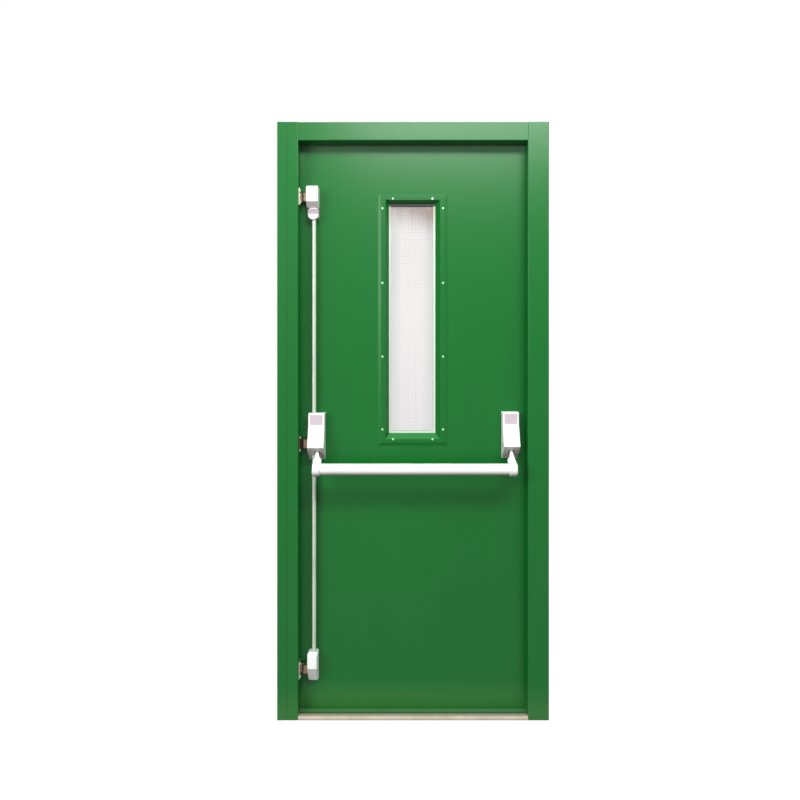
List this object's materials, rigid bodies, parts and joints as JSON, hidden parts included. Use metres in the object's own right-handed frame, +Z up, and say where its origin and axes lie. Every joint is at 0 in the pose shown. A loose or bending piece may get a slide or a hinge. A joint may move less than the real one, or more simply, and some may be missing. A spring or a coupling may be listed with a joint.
{
  "type": "fire exit door",
  "caption": "Green steel fire exit door in its frame, with a wired-glass panel and a silver push bar that works rods and three latches.",
  "frame": {"origin": "middle of the threshold's underside, on the floor, at the middle of the frame's depth", "axes": "+X to the hinge side, right as seen from the room; +Y outward, the way the leaf opens; +Z up"},
  "size_m": [0.955, 0.1835, 2.1],
  "materials": {
    "frame_paint": "satin",
    "leaf_paint": "satin",
    "silver_paint": "satin",
    "label": "matte",
    "sill_metal": "satin",
    "seal": "matte",
    "tape": "matte",
    "glass": "gloss",
    "strike_steel": "satin",
    "bolt_steel": "satin",
    "hinge_steel": "satin"
  },
  "bodies": {
    "frame": {"latch_jamb": "frame_paint", "hinge_jamb": "frame_paint", "frame_head": "frame_paint", "threshold": "sill_metal", "threshold_seal": "seal", "frame_seal": "seal", "top_strike": "strike_steel", "middle_strike": "strike_steel", "bottom_strike": "strike_steel", "top_hinge_frame_leaf": "hinge_steel", "middle_hinge_frame_leaf": "hinge_steel", "bottom_hinge_frame_leaf": "hinge_steel", "top_hinge_pin": "hinge_steel", "middle_hinge_pin": "hinge_steel", "bottom_hinge_pin": "hinge_steel"},
    "leaf": {"leaf_inner_skin": "leaf_paint", "leaf_outer_skin": "leaf_paint", "inner_vision_frame": "leaf_paint", "outer_vision_frame": "leaf_paint", "inner_glazing_tape": "tape", "outer_glazing_tape": "tape", "wired_glass": "glass", "active_case": "silver_paint", "passive_case": "silver_paint", "active_base": "silver_paint", "passive_base": "silver_paint", "active_label": "label", "passive_label": "label", "active_pivot": "hinge_steel", "passive_pivot": "hinge_steel", "top_latch_case": "silver_paint", "bottom_latch_case": "silver_paint", "top_hinge_door_leaf": "hinge_steel", "middle_hinge_door_leaf": "hinge_steel", "bottom_hinge_door_leaf": "hinge_steel"},
    "push_bar": {"push_bar_tube": "silver_paint", "active_lever": "silver_paint", "passive_lever": "silver_paint"},
    "upper_rod": {"upper_rod": "silver_paint"},
    "lower_rod": {"lower_rod": "silver_paint"},
    "top_bolt": {"top_bolt": "bolt_steel"},
    "middle_bolt": {"middle_bolt": "bolt_steel"},
    "bottom_bolt": {"bottom_bolt": "bolt_steel"}
  },
  "joints": [
    {"name": "leaf_swing", "type": "hinge", "parent": "frame", "child": "leaf", "pos_m": [0.421, 0.0605, 1.05], "axis": [0, 0, -1], "range_deg": [0, 110]},
    {"name": "push_bar_press", "type": "hinge", "parent": "leaf", "child": "push_bar", "pos_m": [0, -0.0315, 0.965], "axis": [1, 0, 0], "range_deg": [0, 18], "stiffness_Nm_per_rad": 4, "springref_deg": -45.84},
    {"name": "upper_rod_slide", "type": "slide", "parent": "leaf", "child": "upper_rod", "axis": [0, 0, -1], "range_m": [0, 0.014]},
    {"name": "lower_rod_slide", "type": "slide", "parent": "leaf", "child": "lower_rod", "axis": [0, 0, 1], "range_m": [0, 0.014]},
    {"name": "top_bolt_slide", "type": "slide", "parent": "leaf", "child": "top_bolt", "axis": [1, 0, 0], "range_m": [0, 0.018]},
    {"name": "middle_bolt_slide", "type": "slide", "parent": "leaf", "child": "middle_bolt", "axis": [1, 0, 0], "range_m": [0, 0.018]},
    {"name": "bottom_bolt_slide", "type": "slide", "parent": "leaf", "child": "bottom_bolt", "axis": [1, 0, 0], "range_m": [0, 0.018]}
  ],
  "couplings": [
    {"joint": "upper_rod_slide", "follows": "push_bar_press", "m_per_rad": 0.04456},
    {"joint": "lower_rod_slide", "follows": "push_bar_press", "m_per_rad": 0.04456},
    {"joint": "top_bolt_slide", "follows": "push_bar_press", "m_per_rad": 0.05729},
    {"joint": "middle_bolt_slide", "follows": "push_bar_press", "m_per_rad": 0.05729},
    {"joint": "bottom_bolt_slide", "follows": "push_bar_press", "m_per_rad": 0.05729}
  ]
}
